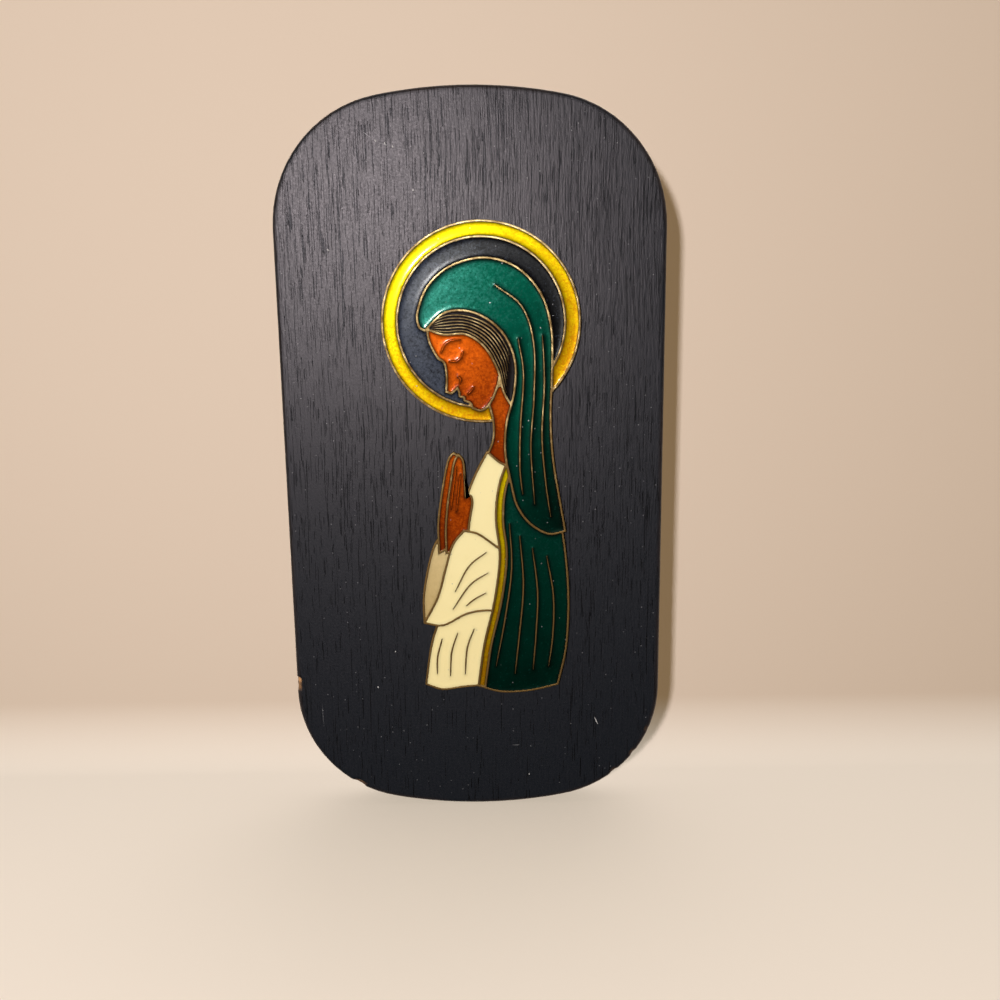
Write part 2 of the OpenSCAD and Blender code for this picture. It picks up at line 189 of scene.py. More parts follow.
def newMaterial(name, **constants):  # with its constant sockets set, and the place in millimetres
    material = bpy.data.materials.new(name)
    material.use_nodes = True
    tree = material.node_tree
    shader = tree.nodes["Principled BSDF"]
    for socketName, value in constants.items():
        shader.inputs[socketName.replace("_", " ")].default_value = value
    place = addNode(tree, "ShaderNodeTexCoord").outputs["Object"]
    return material, tree, shader, stretched(tree, place, 1 / mm, 1 / mm, 1 / mm)


def attribute(tree, name):
    return addNode(tree, "ShaderNodeAttribute", attribute_name=name).outputs["Fac"]


def setBump(tree, shader, height, distance):
    bump = addNode(tree, "ShaderNodeBump", {"Height": height, "Distance": distance, "Strength": 1.0})
    tree.links.new(bump.outputs[0], shader.inputs["Normal"])


# Effects that several finishes share

grainForm = {
    "swayScale": 0.02, "sway": (2.0, 0.6, 0.0),  # how the grain wanders on its way up
    "zones": (0.16, 0.16, 0.012), "crowding": 0.12,  # where the pores crowd, and how much
    "runs": [(4.0, 0.11, 0.0), (5.2, 0.22, 0.0), (4.6, 0.04, 0.03)],  # across, along, how much rarer
    "poreEdge": (0.0, 0.025), "fibre": (2.6, 2.6, 0.25), "mottleScale": 1.9, "cloudScale": 0.06,
}


def makeGrainGroup():  # open pores and fibres that run up the board
    results = [(name, "Float") for name in ("Pores", "Fibre", "Mottle", "Cloud")]
    tree, given, out = newGroup("openGrain", [("Vector", "Vector"), ("Pore Limit", "Float")], results)
    wander = {"Vector": given["Vector"], "Scale": grainForm["swayScale"], "Detail": 1.0}
    sway = addNode(tree, "ShaderNodeTexNoise", wander).outputs["Color"]
    lean = addNode(tree, "ShaderNodeVectorMath", {0: sway, 1: grainForm["sway"]},
                   operation="MULTIPLY").outputs[0]
    grain = addNode(tree, "ShaderNodeVectorMath", {0: given["Vector"], 1: lean}, operation="ADD").outputs[0]
    zones = noiseValue(tree, stretched(tree, grain, *grainForm["zones"]), 1.0)
    crowding = maths(tree, "MULTIPLY", centred(tree, zones), grainForm["crowding"])
    pores = None
    for across, along, rarer in grainForm["runs"]:
        run = noiseValue(tree, stretched(tree, grain, across, across, along), 1.0, 0.0)
        limit = maths(tree, "ADD", given["Pore Limit"], rarer)
        depth = maths(tree, "SUBTRACT", maths(tree, "ADD", run, crowding), limit)
        layer = softStep(tree, depth, *grainForm["poreEdge"])
        pores = layer if pores is None else maths(tree, "MAXIMUM", pores, layer)
    tree.links.new(pores, out["Pores"])
    fibre = noiseValue(tree, stretched(tree, grain, *grainForm["fibre"]), 1.0, rough=0.6)
    tree.links.new(fibre, out["Fibre"])
    tree.links.new(noiseValue(tree, given["Vector"], grainForm["mottleScale"], 3.0, 0.7), out["Mottle"])
    tree.links.new(noiseValue(tree, given["Vector"], grainForm["cloudScale"], 3.0), out["Cloud"])
    return tree


dustForm = {"scale": 0.7, "edge": (0.13, 0.06)}


def makeDustGroup():  # tiny pale specks strewn over the front
    tree, given, out = newGroup("fineDust", [("Vector", "Vector"), ("Share", "Float")], [("Mask", "Float")])
    where = addNode(tree, "ShaderNodeSeparateXYZ", {0: given["Vector"]}).outputs
    flat = addNode(tree, "ShaderNodeCombineXYZ", {0: where["X"], 1: where["Z"]}).outputs[0]
    spots = addNode(tree, "ShaderNodeTexVoronoi", {"Vector": flat, "Scale": dustForm["scale"]},
                    voronoi_dimensions="2D").outputs
    chance = addNode(tree, "ShaderNodeSeparateColor", {0: spots["Color"]}).outputs
    chosen = maths(tree, "LESS_THAN", chance[0], given["Share"])
    dot = softStep(tree, spots["Distance"], *dustForm["edge"])
    tree.links.new(maths(tree, "MULTIPLY", maths(tree, "MULTIPLY", dot, chosen), chance[1]), out["Mask"])
    return tree


markForm = {"raggedScale": 3.0, "ragged": 0.7, "edge": (1.25, 0.75)}


def makeMarkGroup():  # one small mark on the front: a scratch, a scuff or a speck
    tree, given, out = newGroup("smallMark", [("Vector", "Vector"), ("Place", "Vector"), ("Turn", "Vector"),
                                              ("Half Size", "Vector")], [("Mask", "Float")])
    own = addNode(tree, "ShaderNodeMapping", {"Vector": given["Vector"], "Location": given["Place"],
                                              "Rotation": given["Turn"], "Scale": given["Half Size"]},
                  vector_type="TEXTURE").outputs[0]
    reach = addNode(tree, "ShaderNodeVectorMath", {0: own}, operation="LENGTH").outputs["Value"]
    uneven = noiseValue(tree, given["Vector"], markForm["raggedScale"])
    ragged = maths(tree, "ADD", reach, maths(tree, "MULTIPLY", uneven, markForm["ragged"]))
    tree.links.new(softStep(tree, ragged, *markForm["edge"]), out["Mask"])
    return tree


glass = {
    "cloudScale": 0.25, "cloud": 0.45, "gritScale": 2.0, "gritRough": 0.3, "rippleScale": 0.9,
    "black": screen(4, 6, 5), "paintedShadeRamp": (1.0, 1.9), "paintedShadeMost": 0.85,  # past the thick end: painted shade, darker still
    # rim: the colour of the painted shade in the crevice along the brass walls
    "bubbleScale": 1.9, "bubbleEdge": (0.65, 0.74), "rim": screen(14, 10, 8),
    "coat": 0.75, "gritLoss": 0.5, "rimLoss": 0.85,  # the shine, and what grit and rim take from it
}


def makeEnamelGroup():  # fired enamel: cloudy depth and fine grit, with painted shade from the thin, lit colour to the thick, shaded one and darker still past it, and a painted dark line of shade where it meets the brass
    tree, given, out = newGroup("enamelDepthAndShade", [("Vector", "Vector"), ("Thin Lit", "Color"), ("Thick Shaded", "Color"),
                                                ("Share", "Float"), ("Grit", "Float"), ("Fleck", "Float"),
                                                ("Rim", "Float"), ("Painted Rim Shade", "Float")],
                                [("Color", "Color"), ("Roughness", "Float"), ("Gloss", "Float"),
                                 ("Height", "Float")])
    cloud = centred(tree, noiseValue(tree, given["Vector"], glass["cloudScale"], 3.0))
    grain = centred(tree, noiseValue(tree, given["Vector"], glass["gritScale"], rough=0.7))
    gritty = maths(tree, "MULTIPLY", grain, given["Grit"])
    share = maths(tree, "ADD", given["Share"], maths(tree, "MULTIPLY", cloud, glass["cloud"]))
    # painted shade: from the thin, lit colour to the thick, shaded colour across the filling, partly the
    # enamel's real depth
    body = mixColour(tree, maths(tree, "ADD", share, gritty, clamp=True), given["Thin Lit"], given["Thick Shaded"])
    # painted shade: darker still past the thick, shaded end
    paintedShadeDeep = maths(tree, "MULTIPLY", softStep(tree, share, *glass["paintedShadeRamp"]), glass["paintedShadeMost"])
    body = mixColour(tree, paintedShadeDeep, body, glass["black"])
    bubbles = noiseValue(tree, given["Vector"], glass["bubbleScale"], 1.0)
    flecks = maths(tree, "MULTIPLY", softStep(tree, bubbles, *glass["bubbleEdge"]), given["Fleck"])
    body = mixColour(tree, flecks, body, given["Thin Lit"], "ADD")
    # painted shade in the crevice where the enamel meets the brass walls, partly the deeper enamel there
    rim = maths(tree, "MULTIPLY", given["Rim"], given["Painted Rim Shade"])
    tree.links.new(mixColour(tree, rim, body, glass["rim"]), out["Color"])
    tree.links.new(maths(tree, "MULTIPLY", grain, glass["gritRough"]), out["Roughness"])
    gritLoss = maths(tree, "MULTIPLY", gritty, glass["gritLoss"])
    rimLoss = maths(tree, "MULTIPLY", given["Rim"], glass["rimLoss"])
    shine = maths(tree, "SUBTRACT", glass["coat"], gritLoss, clamp=True)
    shine = maths(tree, "MULTIPLY", shine, maths(tree, "SUBTRACT", 1.0, rimLoss))
    tree.links.new(shine, out["Gloss"])
    tree.links.new(noiseValue(tree, given["Vector"], glass["rippleScale"]), out["Height"])
    return tree


patina = {
    "patchScale": 0.35, "patches": 0.9, "fineScale": 5.0, "fine": 0.35, "wornEdge": (0.5, 1.0),
    "wornRough": 0.25, "fineRough": 0.15,
}


def makePatinaGroup():  # old brass: bright where it is rubbed, brown where it is left
    tree, given, out = newGroup("brassPatina", [("Vector", "Vector"), ("Bright", "Color"), ("Dull", "Color"),
                                                ("Age", "Float")],
                                [("Color", "Color"), ("Roughness", "Float"), ("Height", "Float")])
    patches = noiseValue(tree, given["Vector"], patina["patchScale"], 4.0, 0.6)
    fine = noiseValue(tree, given["Vector"], patina["fineScale"], 3.0, 0.7)
    old = maths(tree, "ADD", maths(tree, "MULTIPLY", patches, patina["patches"]), given["Age"])
    old = maths(tree, "ADD", old, maths(tree, "MULTIPLY", fine, patina["fine"]))
    worn = softStep(tree, old, *patina["wornEdge"])
    tree.links.new(mixColour(tree, worn, given["Bright"], given["Dull"]), out["Color"])
    rough = maths(tree, "ADD", maths(tree, "MULTIPLY", worn, patina["wornRough"]),
                  maths(tree, "MULTIPLY", fine, patina["fineRough"]))
    tree.links.new(rough, out["Roughness"])
    tree.links.new(fine, out["Height"])
    return tree


openGrain = makeGrainGroup()
fineDust = makeDustGroup()
smallMark = makeMarkGroup()
enamelDepthAndShade = makeEnamelGroup()
brassPatina = makePatinaGroup()
print("shared effects ready")


# Wooden board

board = {
    "black": screen(13, 18, 23), "brownBlack": screen(19, 23, 28), "pore": screen(9, 11, 13),
    "bareWood": screen(206, 150, 98), "rubbed": screen(56, 42, 35), "dust": screen(150, 146, 146),
    "speck": screen(214, 206, 200), "backStain": screen(44, 35, 30),
    "boredWood": screen(146, 108, 72), "boredDark": screen(92, 64, 42),
    "ior": 1.43, "tint": (1.0, 0.87, 0.9, 1.0), "sheen": 0.43, "streak": 0.08, "mottle": 0.34,
    "bareDull": 0.27, "backBare": 0.6, "poreDark": 0.6, "poreShade": 0.8, "rawShade": 0.9,
    "poreLimit": 0.707, "poreLoss": 0.06,
    "poreFade": (20.0, -70.0),  # heights in millimetres between which the pores grow rarer
    "frontBand": (-9.2, -9.6), "backBand": (-0.9, -0.2), "boredBand": (-5.0, -4.6),  # depths in millimetres
    "dustShare": 0.07, "dusty": 0.42, "scratched": 0.3, "specked": 0.8, "rub": 0.5, "rubEdge": (0.35, 0.6),
    "relief": 0.06 * mm, "fibreRelief": 0.7, "mottleRelief": 0.5, "cutterRelief": 0.6,
    "markPlane": -10.0, "markDepth": 2.0,  # millimetres
    "recess": (0.0, 55.95, 19.13),  # across, up, radius in millimetres
    "recessEdge": (0.2, -0.05),  # millimetres outside and inside that radius
    "cutterWaves": 7.0,  # rings left by the boring bit
    "edgeRound": 0.2 * mm, "edgeStep": 0.7 * mm, "halvings": 8, "rimDepth": 0.6 * mm,
    "holdBand": 0.8 * mm, "calmBand": 0.6 * mm, "mouthRound": 0.25 * mm, "wallLimit": 0.1, "smooth": 35,
    "arris": (0.1 * mm, 0.9 * mm), "wearReach": 0.7 * mm,  # where the edge is worn
    "moveReach": 0.75 * mm, "moveDepth": 2 * mm, "wobble": 0.05 * mm, "wobbleScale": 400,
    "chipReach": 1.6 * mm,  # how far a chip may run down the side
    "chipScale": 2500, "chipSlant": Vector((0, 0.8, 0)),
    "chips": [  # place along the front edge, half length, depth, bare wood showing
        ((-44.3, -52.2), 1.0, 0.5, 1.8), ((-44.2, -53.8), 1.1, 0.4, 0.7), ((-30.4, -80.1), 2.0, 0.45, 0.3),
        ((38.5, -72.5), 1.1, 0.25, 0.15), ((41.6, -66.0), 0.9, 0.2, 0.1), ((33.8, -77.6), 1.3, 0.3, 0.15)],
    "scratches": [  # middle, half length, half width, turn in degrees
        ((-22.2, 75.0), 2.1, 0.12, 36), ((-18.6, 73.1), 2.2, 0.12, 18), ((-15.0, 72.1), 1.9, 0.1, 12),
        ((-38.5, -61.3), 4.0, 0.09, 88), ((9.3, -69.9), 1.1, 0.2, 0)],
    "specks": [
        ((-20.6, 73.9), 0.36, 0.15, 70), ((-18.5, 73.3), 0.42, 0.16, 70), ((-16.8, 72.6), 0.38, 0.16, 70),
        ((-12.5, 63.3), 0.28, 0.24, 0), ((29.2, -63.7), 1.3, 0.16, 66), ((-32.1, 50.5), 0.36, 0.2, 60),
        ((12.5, -77.8), 0.26, 0.22, 0), ((-24.6, -54.2), 0.3, 0.24, 80), ((-20.0, -45.0), 0.2, 0.2, 0)],
}


def makeWoodMaterial():
    material, tree, shader, place = newMaterial("ebonised_wood", IOR=board["ior"],
                                                Specular_Tint=board["tint"])
    where = addNode(tree, "ShaderNodeSeparateXYZ", {0: place}).outputs
    closer = maths(tree, "MULTIPLY", softStep(tree, where["Z"], *board["poreFade"]), board["poreLoss"])
    limit = maths(tree, "ADD", closer, board["poreLimit"])
    grain = useGroup(tree, openGrain, {"Vector": place, "Pore Limit": limit})
    front = softStep(tree, where["Y"], *board["frontBand"])
    back = softStep(tree, where["Y"], *board["backBand"])
    colour = mixColour(tree, grain["Fibre"], board["black"], board["brownBlack"])
    colour = mixColour(tree, maths(tree, "MULTIPLY", back, grain["Fibre"]), colour, board["backStain"])
    shaded = maths(tree, "MULTIPLY", grain["Pores"], board["poreShade"])
    colour = mixColour(tree, shaded, colour, board["pore"])

    across, up, radius = board["recess"]
    outer, inner = (radius + margin for margin in board["recessEdge"])
    sideways = maths(tree, "SUBTRACT", where["X"], across)
    upward = maths(tree, "SUBTRACT", where["Z"], up)
    fromMiddle = addNode(tree, "ShaderNodeCombineXYZ", {0: sideways, 1: upward}).outputs[0]
    out = addNode(tree, "ShaderNodeVectorMath", {0: fromMiddle}, operation="LENGTH").outputs["Value"]
    bored = maths(tree, "MULTIPLY", softStep(tree, out, outer, inner),
                  softStep(tree, where["Y"], *board["boredBand"]))
    cutter = maths(tree, "SINE", maths(tree, "MULTIPLY", out, board["cutterWaves"]))
    raw = maths(tree, "ADD", grain["Fibre"], grain["Pores"], clamp=True)
    raw = maths(tree, "MULTIPLY", raw, board["rawShade"])
    colour = mixColour(tree, bored, colour, mixColour(tree, raw, board["boredWood"], board["boredDark"]))

    def marked(marks, strength):  # all marks of one list in one mask
        mask = None
        for middle, halfLength, halfWidth, turn in marks:
            found = useGroup(tree, smallMark, {
                "Vector": place, "Place": (middle[0], board["markPlane"], middle[1]),
                "Turn": (0.0, math.radians(turn), 0.0),
                "Half Size": (halfLength, board["markDepth"], halfWidth)})["Mask"]
            mask = found if mask is None else maths(tree, "MAXIMUM", mask, found)
        return maths(tree, "MULTIPLY", maths(tree, "MULTIPLY", mask, front), strength)

    dusty = useGroup(tree, fineDust, {"Vector": place, "Share": board["dustShare"]})["Mask"]
    dusty = maths(tree, "MULTIPLY", maths(tree, "MULTIPLY", dusty, front), board["dusty"])
    pale = maths(tree, "ADD", marked(board["scratches"], board["scratched"]), dusty)
    colour = mixColour(tree, pale, colour, board["dust"])
    specks = marked(board["specks"], board["specked"])
    colour = mixColour(tree, specks, colour, board["speck"])
    patchy = softStep(tree, grain["Cloud"], *board["rubEdge"])
    edge = maths(tree, "MULTIPLY", attribute(tree, "edgeWear"), patchy)
    colour = mixColour(tree, maths(tree, "MULTIPLY", edge, board["rub"]), colour, board["rubbed"])
    chipped = attribute(tree, "chip")
    colour = mixColour(tree, chipped, colour, board["bareWood"])
    tree.links.new(colour, shader.inputs["Base Color"])

    streak = maths(tree, "MULTIPLY", centred(tree, grain["Fibre"]), board["streak"])
    mottle = maths(tree, "MULTIPLY", centred(tree, grain["Mottle"]), board["mottle"])
    dull = maths(tree, "ADD", board["sheen"], maths(tree, "ADD", streak, mottle))
    bare = maths(tree, "MAXIMUM", maths(tree, "MAXIMUM", bored, chipped),
                 maths(tree, "MULTIPLY", back, board["backBare"]))
    bare = maths(tree, "MAXIMUM", bare, specks)
    dull = maths(tree, "ADD", dull, maths(tree, "MULTIPLY", bare, board["bareDull"]))
    tree.links.new(dull, shader.inputs["Roughness"])
    gaping = maths(tree, "MULTIPLY", grain["Pores"], maths(tree, "SUBTRACT", 1.0, bare))
    swallowed = maths(tree, "MULTIPLY", gaping, board["poreDark"])  # dark pores take the sheen away
    tree.links.new(swallowed, shader.inputs["Metallic"])
    relief = maths(tree, "SUBTRACT", maths(tree, "MULTIPLY", grain["Fibre"], board["fibreRelief"]),
                   grain["Pores"])
    relief = maths(tree, "ADD", relief, maths(tree, "MULTIPLY", grain["Mottle"], board["mottleRelief"]))
    rings = maths(tree, "MULTIPLY", maths(tree, "MULTIPLY", cutter, bored), board["cutterRelief"])
    setBump(tree, shader, maths(tree, "ADD", relief, rings), board["relief"])
    return material


def isFlat(face, height):  # a face that lies in the plane of the front or the back
    return abs(face.normal.y) > faceOn and abs(face.center.y - height) < sameLevel


def makeBoard():
    piece = copyNode("board", "wooden_board")
    mesh = piece.data
    frontY, backY = boardLow.y, boardHigh.y

    def hidden(face):  # the flat front with the stud holes behind the plate
        ahead = max(mesh.vertices[i].co.y for i in face.vertices) < frontY / 2
        return ahead and (isFront(face) or abs(face.normal.y) < sideOn)

    def onRim(a, b, faces):  # the edge lines of the front and back arris, all round
        near = a.y < frontY + board["rimDepth"] or a.y > backY - board["rimDepth"]
        slanted = any(sideOn < abs(f.normal.y) < faceOn for f in faces)
        return near and slanted and abs(a.y - b.y) < sameLevel

    pickFaces(piece, hidden)
    bpy.ops.mesh.delete(type="FACE")
    bpy.ops.object.mode_set(mode="OBJECT")
    pickEdges(piece, lambda a, b, faces: len(faces) == 1 and max(a.y, b.y) < frontY + sameLevel)
    bpy.ops.mesh.edge_face_add()
    bpy.ops.object.mode_set(mode="OBJECT")
    for halving in range(board["halvings"]):  # long edges, until the chips have points to follow
        pickEdges(piece, lambda a, b, faces: onRim(a, b, faces) and (a - b).length > board["edgeStep"])
        bpy.ops.mesh.subdivide(number_cuts=1)
        bpy.ops.object.mode_set(mode="OBJECT")
    pickFaces(piece, lambda f: isFlat(f, frontY) or isFlat(f, backY))
    bpy.ops.mesh.inset(thickness=board["holdBand"], use_even_offset=True)
    bpy.ops.mesh.inset(thickness=board["calmBand"], use_even_offset=True)  # the flats inside stay true
    bpy.ops.mesh.select_all(action="SELECT")
    bpy.ops.mesh.bisect(plane_co=(0, frontY + board["chipReach"], 0), plane_no=(0, 1, 0))
    bpy.ops.object.mode_set(mode="OBJECT")
    pickEdges(piece, onRim)
    bpy.ops.mesh.bevel(offset=board["edgeRound"], segments=2, affect="EDGES", clamp_overlap=False)
    bpy.ops.object.mode_set(mode="OBJECT")

    def onMouth(a, b, faces):  # the edge of the bored recess
        return min(a.y, b.y) > backY - sameLevel and any(abs(f.normal.y) < board["wallLimit"] for f in faces)

    pickEdges(piece, onMouth)
    bpy.ops.mesh.bevel(offset=board["mouthRound"], segments=2, affect="EDGES", clamp_overlap=False)
    bpy.ops.object.mode_set(mode="OBJECT")

    wear = mesh.attributes.new("edgeWear", "FLOAT", "POINT")
    chip = mesh.attributes.new("chip", "FLOAT", "POINT")
    rim = KDTree(len(mesh.vertices))
    first, last = (frontY + depth for depth in board["arris"])
    for vertex in mesh.vertices:
        if first < vertex.co.y < last:
            rim.insert(vertex.co, vertex.index)
    rim.balance()
    for vertex in mesh.vertices:
        distance = rim.find(vertex.co)[2]
        wear.data[vertex.index].value = max(0.0, 1.0 - distance / board["wearReach"])
        if distance > board["moveReach"] or vertex.co.y > frontY + board["moveDepth"]:
            continue
        inward = Vector((-vertex.co.x, 0.0, -vertex.co.z)).normalized()
        uneven = 0.5 + 0.5 * noise.noise(vertex.co * board["wobbleScale"])
        vertex.co += inward * board["wobble"] * uneven
        for place, half, depth, bare in board["chips"]:
            along = (Vector((vertex.co.x, vertex.co.z)) - Vector(place) * mm).length / (half * mm)
            if along < 1:
                ragged = 0.7 + 0.3 * noise.noise(vertex.co * board["chipScale"])
                cut = (1 - along * along) * ragged
                vertex.co += (inward + board["chipSlant"]) * depth * mm * cut
                chip.data[vertex.index].value = min(1.0, bare * cut)
    finishPiece(piece, makeWoodMaterial(), "plaque", ["board"], board["smooth"])


makeBoard()


# Struck brass plate and the fine lines in the enamel

brass = {
    "bright": screen(226, 200, 146), "dull": screen(122, 94, 54), "rough": 0.34, "lineRound": 0.15 * mm,
    "foldRound": 0.09 * mm, "ageLitTop": 0.1, "ageShadedFoot": 0.6, "ageInCream": 0.8,
    "ridgeInset": 0.055 * mm, "ridgeDrop": 0.16 * mm,  # the lines in the hair run up to a narrow ridge
    "relief": 0.006 * mm, "fullness": 0.55, "lineSmooth": 50, "ridgeSmooth": 30,
}


def makeBrassMaterial(name, ageLitTop, ageShadedFoot):
    material, tree, shader, place = newMaterial(name, Metallic=1.0)
    # browner towards the foot: patina, and painted shade on the lower lines
    height = addNode(tree, "ShaderNodeSeparateXYZ", {0: place}).outputs["Z"]
    age = addNode(tree, "ShaderNodeMapRange", {"Value": height, "From Min": plateHigh.z / mm,
                                               "From Max": plateLow.z / mm, "To Min": ageLitTop,
                                               "To Max": ageShadedFoot}).outputs[0]
    look = useGroup(tree, brassPatina, {"Vector": place, "Bright": brass["bright"], "Dull": brass["dull"],
                                        "Age": age})
    tree.links.new(look["Color"], shader.inputs["Base Color"])
    tree.links.new(maths(tree, "ADD", look["Roughness"], brass["rough"]), shader.inputs["Roughness"])
    setBump(tree, shader, look["Height"], brass["relief"])
    return material


def makeLines(nodeName, pieceName, roundness, material, fine=True):
    piece = copyNode(nodeName, pieceName, wholeFaces=not fine)  # a fine line keeps its triangles
    pickEdges(piece, onTop)
    bpy.ops.mesh.bevel(offset=roundness, segments=2, profile=brass["fullness"], affect="EDGES",
                       clamp_overlap=fine, loop_slide=False)
    bpy.ops.object.mode_set(mode="OBJECT")
    finishPiece(piece, material, "plaque", [nodeName], brass["lineSmooth"])


def makeStrands():
    piece = copyNode("hair_lines", "hair_strands", wholeFaces=False)
    pickFaces(piece, lambda f: isFront(f) and f.center.y < lineTop + sameLevel)
    bpy.ops.mesh.inset(thickness=brass["ridgeInset"], use_even_offset=True)
    bpy.ops.object.mode_set(mode="OBJECT")
    for vertex in piece.data.vertices:
        if vertex.co.y < lineTop + sameLevel and not vertex.select:
            vertex.co.y += brass["ridgeDrop"]
    finishPiece(piece, struckBrass, "plaque", ["hair_lines"], brass["ridgeSmooth"])


struckBrass = makeBrassMaterial("struck_brass", brass["ageLitTop"], brass["ageShadedFoot"])
brownBrass = makeBrassMaterial("brown_brass", brass["ageInCream"], brass["ageInCream"])
makeLines("struck_plate", "brass_plate", brass["lineRound"], struckBrass, fine=False)
for garment in ("veil", "cloak"):
    makeLines(garment + "_fold_lines", garment + "_folds", brass["foldRound"], struckBrass)
for garment in ("gown", "sleeve"):  # in the cream these lines have gone brown
    makeLines(garment + "_fold_lines", garment + "_folds", brass["foldRound"], brownBrass)
makeStrands()


# Enamel fillings

enamelForm = {"climb": 0.05 * mm, "dip": 0.12 * mm, "reach": 0.32 * mm, "rimBand": 0.1 * mm,
              "hairBand": 0.05 * mm, "rimFade": 0.26 * mm, "grid": 0.5 * mm, "ripple": 0.012 * mm,
              "rippleScale": 350, "outlineStep": 0.06 * mm, "dustShare": 0.04, "relief": 0.02 * mm,
              "smooth": 40}

enamels = {  # thin lit and thick shaded colours (painted shade, partly the enamel's depth), grit, light flecks, painted rim shade, metal under the glass, roughness, then the glass itself
    "yellow_enamel": {"thinLit": screen(208, 186, 6), "thickShaded": screen(176, 118, 6), "grit": 1.6, "fleck": 0.2,
                      "rim": 0.85, "metal": 0.35, "rough": 0.4, "gloss": 0.13, "ior": 1.2},
    "blue_black_enamel": {"thinLit": screen(56, 61, 74), "thickShaded": screen(10, 10, 14), "grit": 2.4, "fleck": 0.4,
                          "rim": 0.85, "metal": 0.0, "rough": 0.5, "gloss": 0.25, "ior": 1.27},
    "green_enamel": {"thinLit": screen(21, 69, 59), "thickShaded": screen(0, 50, 37), "grit": 2.2, "fleck": 0.3,
                     "rim": 0.92, "metal": 0.7, "rough": 0.37, "gloss": 0.13, "ior": 1.25},
    "hair_enamel": {"thinLit": screen(38, 28, 26), "thickShaded": screen(18, 13, 12), "grit": 1.0, "fleck": 0.0,
                    "rim": 0.5, "metal": 0.0, "rough": 0.5, "gloss": 0.25, "ior": 1.24},
    "terracotta_enamel": {"thinLit": screen(198, 86, 12), "thickShaded": screen(124, 43, 4), "grit": 1.5,
                          "fleck": 0.15, "rim": 0.8, "metal": 0.25, "rough": 0.4, "gloss": 0.13,
                          "ior": 1.22},
    "cream_enamel": {"thinLit": screen(252, 232, 172), "thickShaded": screen(248, 224, 160), "grit": 0.3,
                     "fleck": 0.0, "rim": 0.25, "metal": 0.0, "rough": 0.5, "gloss": 0.2, "ior": 1.4},
    "tan_enamel": {"thinLit": screen(222, 194, 138), "thickShaded": screen(186, 156, 102), "grit": 0.4, "fleck": 0.0,
                   "rim": 0.3, "metal": 0.0, "rough": 0.5, "gloss": 0.2, "ior": 1.4},
}

fillings = {  # node: finish and where it turns from the thin, lit colour to the thick, shaded one (painted shade, partly the enamel's depth), from a point to a point in millimetres, across and up
    "halo_enamel": ("yellow_enamel", (-10, 52), (14, 16)),
    "halo_field_enamel": ("blue_black_enamel", (-18, 38), (4, 42)),
    "veil_enamel": ("green_enamel", (-17, 40), (9, 36)),
    "cloak_enamel": ("green_enamel", (10, 46), (12, -22)),
    "cloak_border_enamel": ("yellow_enamel", (8, 10), (2, -52)),
    "hair_enamel": ("hair_enamel", (-8, 36), (10, 18)),
    "face_enamel": ("terracotta_enamel", (-9, 32), (4, 15)),
    "neck_enamel": ("terracotta_enamel", (3, 34), (7, 6)),
    "near_hand_enamel": ("terracotta_enamel", (-4, 16), (-4, -20)),
    "far_hand_enamel": ("terracotta_enamel", (-6, 8), (-8, -16)),
    "sleeve_enamel": ("cream_enamel", (-2, -10), (2, -60)),
    "sleeve_lining_enamel": ("tan_enamel", (-8, -14), (-12, -38)),
    "gown_enamel": ("cream_enamel", (2, 10), (-4, -80)),
}


def makeEnamelMaterial(name, finish, start, end):
    look = enamels[finish]
    material, tree, shader, place = newMaterial(name, Metallic=look["metal"], Specular_IOR_Level=0.0,
                                                Coat_Roughness=look["gloss"], Coat_IOR=look["ior"])
    # the run from start to end sets where the painted shade turns from lit to shaded
    run = Vector((end[0] - start[0], 0, end[1] - start[1]))
    run /= run.length_squared
    along = addNode(tree, "ShaderNodeVectorMath", {0: place, 1: run}, operation="DOT_PRODUCT")
    share = maths(tree, "SUBTRACT", along.outputs["Value"], Vector((start[0], 0, start[1])).dot(run))
    depth = useGroup(tree, enamelDepthAndShade, {"Vector": place, "Thin Lit": look["thinLit"], "Thick Shaded": look["thickShaded"],
                                         "Share": share, "Grit": look["grit"], "Fleck": look["fleck"],
                                         "Rim": attribute(tree, "rim"), "Painted Rim Shade": look["rim"]})
    dusty = useGroup(tree, fineDust, {"Vector": place, "Share": enamelForm["dustShare"]})["Mask"]
    tree.links.new(mixColour(tree, dusty, depth["Color"], board["dust"]), shader.inputs["Base Color"])
    tree.links.new(depth["Gloss"], shader.inputs["Coat Weight"])
    tree.links.new(maths(tree, "ADD", depth["Roughness"], look["rough"]), shader.inputs["Roughness"])
    setBump(tree, shader, depth["Height"], enamelForm["relief"])
    return material


def outlineOf(mesh):  # the line where the front of a filling meets its side, as close points
    uses = Counter(key for face in mesh.polygons if isFront(face) for key in face.edge_keys)
    points = []
    for (first, last), count in uses.items():
        if count == 1:
            a, b = mesh.vertices[first].co, mesh.vertices[last].co
            steps = max(1, round((b - a).length / enamelForm["outlineStep"]))
            points += [a.lerp(b, i / steps) for i in range(steps + 1)]
    tree = KDTree(len(points))
    for i, point in enumerate(points):
        tree.insert(point, i)
    tree.balance()
    return tree


def cutGrid(piece, step):  # a net of points over the front, for the hollow to follow
    pickFaces(piece, isFront)
    bpy.ops.mesh.hide(unselected=True)
    low = Vector(map(min, zip(*(v.co for v in piece.data.vertices))))
    high = Vector(map(max, zip(*(v.co for v in piece.data.vertices))))
    for axis in (Vector((1, 0, 0)), Vector((0, 0, 1))):
        count = int((high - low).dot(axis) / step)
        for i in range(1, count + 1):
            bpy.ops.mesh.select_all(action="SELECT")
            bpy.ops.mesh.bisect(plane_co=low + axis * step * i, plane_no=axis)
    bpy.ops.mesh.reveal()
    bpy.ops.object.mode_set(mode="OBJECT")


